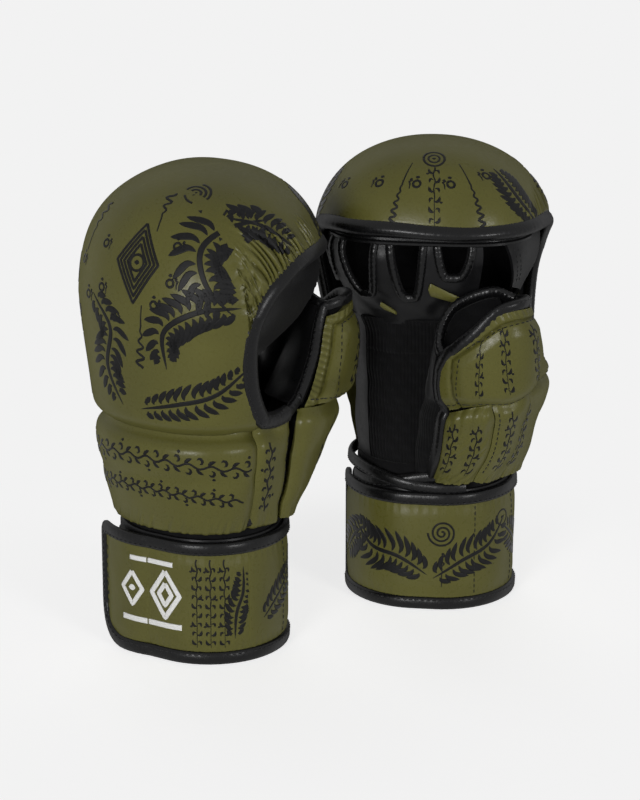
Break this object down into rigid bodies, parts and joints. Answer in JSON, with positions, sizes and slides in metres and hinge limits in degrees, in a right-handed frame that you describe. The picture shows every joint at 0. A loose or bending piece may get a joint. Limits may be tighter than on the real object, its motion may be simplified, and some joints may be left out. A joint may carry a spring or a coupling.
{
  "type": "padded open-thumb sparring gloves",
  "caption": "Padded olive and black sparring gloves with curved knuckle pads, open finger loops, a thumb sleeve and a wrap-round wrist strap on each.",
  "frame": {"origin": "middle of the pair's footprint, on the surface that the gloves stand on", "axes": "+Z from the cuffs to the finger ends; on the left glove +X is the thumb's side and -Y the back of the hand"},
  "size_m": [0.2125, 0.2487, 0.2636],
  "materials": {
    "olive_leather": "glossy grained PU leather, olive green with black print",
    "black_leather": "smooth black PU leather",
    "binding": "glossy folded and stitched binding tape",
    "foam": "layered closed-cell foam",
    "lining": "matt black lining cloth",
    "palm_cloth": "ribbed black palm cloth",
    "hook_loop": "hook-and-loop tape"
  },
  "bodies": {
    "left_glove": {"left_knuckle_cover": "olive_leather", "left_knuckle_foam": "foam", "left_knuckle_lining": "lining", "left_back_cover": "olive_leather", "left_back_foam": "foam", "left_hand_lining": "lining", "left_side_strip": "olive_leather", "left_thumb_base_covers": "olive_leather", "left_thumb_base_foams": "foam", "left_edge_bindings": "binding", "left_side_panels": "black_leather", "left_finger_panel": "black_leather", "left_finger_loops": "binding", "left_palm_accents": "olive_leather", "left_palm_mesh": "palm_cloth", "left_cuff_lining": "lining", "left_cuff_wrap": "black_leather", "left_cuff_binding": "binding", "left_loop_patch": "hook_loop", "left_strap_base": "olive_leather", "left_strap_base_bindings": "binding"},
    "left_thumb": {"left_thumb_tip_cover": "olive_leather", "left_thumb_tip_foam": "foam", "left_thumb_inner_panel": "black_leather", "left_thumb_tip_binding": "binding"},
    "left_strap_arm": {"left_strap_arm": "olive_leather", "left_strap_arm_bindings": "binding"},
    "left_strap_end": {"left_strap_end": "olive_leather", "left_strap_end_bindings": "binding", "left_hook_patch": "hook_loop"},
    "right_glove": {"right_knuckle_cover": "olive_leather", "right_knuckle_foam": "foam", "right_knuckle_lining": "lining", "right_back_cover": "olive_leather", "right_back_foam": "foam", "right_hand_lining": "lining", "right_side_strip": "olive_leather", "right_thumb_base_covers": "olive_leather", "right_thumb_base_foams": "foam", "right_edge_bindings": "binding", "right_side_panels": "black_leather", "right_finger_panel": "black_leather", "right_finger_loops": "binding", "right_palm_accents": "olive_leather", "right_palm_mesh": "palm_cloth", "right_cuff_lining": "lining", "right_cuff_wrap": "black_leather", "right_cuff_binding": "binding", "right_loop_patch": "hook_loop", "right_strap_base": "olive_leather", "right_strap_base_bindings": "binding"},
    "right_thumb": {"right_thumb_tip_cover": "olive_leather", "right_thumb_tip_foam": "foam", "right_thumb_inner_panel": "black_leather", "right_thumb_tip_binding": "binding"},
    "right_strap_arm": {"right_strap_arm": "olive_leather", "right_strap_arm_bindings": "binding"},
    "right_strap_end": {"right_strap_end": "olive_leather", "right_strap_end_bindings": "binding", "right_hook_patch": "hook_loop"}
  },
  "joints": [
    {"name": "left_strap_peel", "type": "hinge", "parent": "left_glove", "child": "left_strap_arm", "pos_m": [0.00477, -0.08786, 0.035], "axis": [0, 0, 1], "range_deg": [0, 100]},
    {"name": "left_strap_end_peel", "type": "hinge", "parent": "left_strap_arm", "child": "left_strap_end", "pos_m": [-0.04588, -0.11201, 0.035], "axis": [0, 0, 1], "range_deg": [0, 60]},
    {"name": "left_thumb_spread", "type": "hinge", "parent": "left_glove", "child": "left_thumb", "pos_m": [-0.00188, 0.00049, 0.128], "axis": [-1, 0, 0], "range_deg": [0, 9], "stiffness_Nm_per_rad": 0.2},
    {"name": "right_glove_lift", "type": "slide", "parent": "left_glove", "child": "right_glove", "axis": [0, 0, 1], "range_m": [0, 0.06]},
    {"name": "right_strap_peel", "type": "hinge", "parent": "right_glove", "child": "right_strap_arm", "pos_m": [0.05838, 0.10176, 0.035], "axis": [0, 0, -1], "range_deg": [0, 100]},
    {"name": "right_strap_end_peel", "type": "hinge", "parent": "right_strap_arm", "child": "right_strap_end", "pos_m": [0.00227, 0.10225, 0.035], "axis": [0, 0, -1], "range_deg": [0, 60]},
    {"name": "right_thumb_spread", "type": "hinge", "parent": "right_glove", "child": "right_thumb", "pos_m": [0.08969, 0.01888, 0.128], "axis": [0.9063, 0.4226, 0], "range_deg": [0, 9], "stiffness_Nm_per_rad": 0.2}
  ]
}
